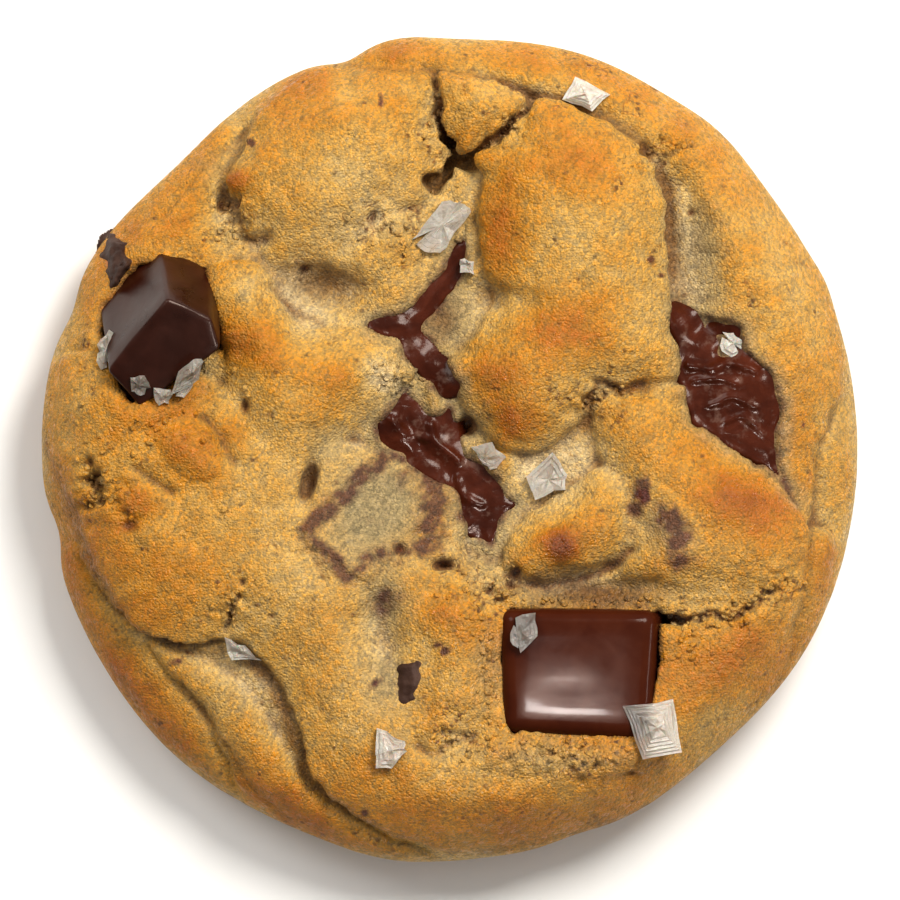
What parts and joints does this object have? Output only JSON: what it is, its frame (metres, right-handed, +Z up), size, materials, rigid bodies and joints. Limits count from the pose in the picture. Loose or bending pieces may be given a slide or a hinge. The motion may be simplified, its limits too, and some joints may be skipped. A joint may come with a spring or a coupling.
{
  "type": "chocolate chip cookie",
  "caption": "Thick baked drop cookie of torn and folded dough, with sunken blocks and pools of dark chocolate and coarse salt flakes on top, and a flat base to rest on",
  "frame": {"origin": "middle of the flat base, under the middle of the outline", "axes": "+Z up from the baking sheet to the crust; +Y away from the square slab of chocolate; +X toward the long pool of melted chocolate at the edge"},
  "size_m": [0.082, 0.0828, 0.0205],
  "materials": {
    "baked_dough": "matt, grainy, browned on the high folds and pale in the tears",
    "dark_chocolate": "glossy dark brown, set again after melting",
    "filmed_chocolate": "dark brown chocolate under a thin baked film of dough"
  },
  "bodies": {
    "root": {"cookie": "baked_dough", "chunk_left": "dark_chocolate", "chunk_slab": "dark_chocolate", "melted_right": "dark_chocolate", "melted_upper": "dark_chocolate", "melted_lower": "dark_chocolate", "chip_left": "dark_chocolate", "chip_lower": "dark_chocolate", "filmed_chunk_centre": "filmed_chocolate", "filmed_chunk_right": "filmed_chocolate"}
  },
  "joints": []
}
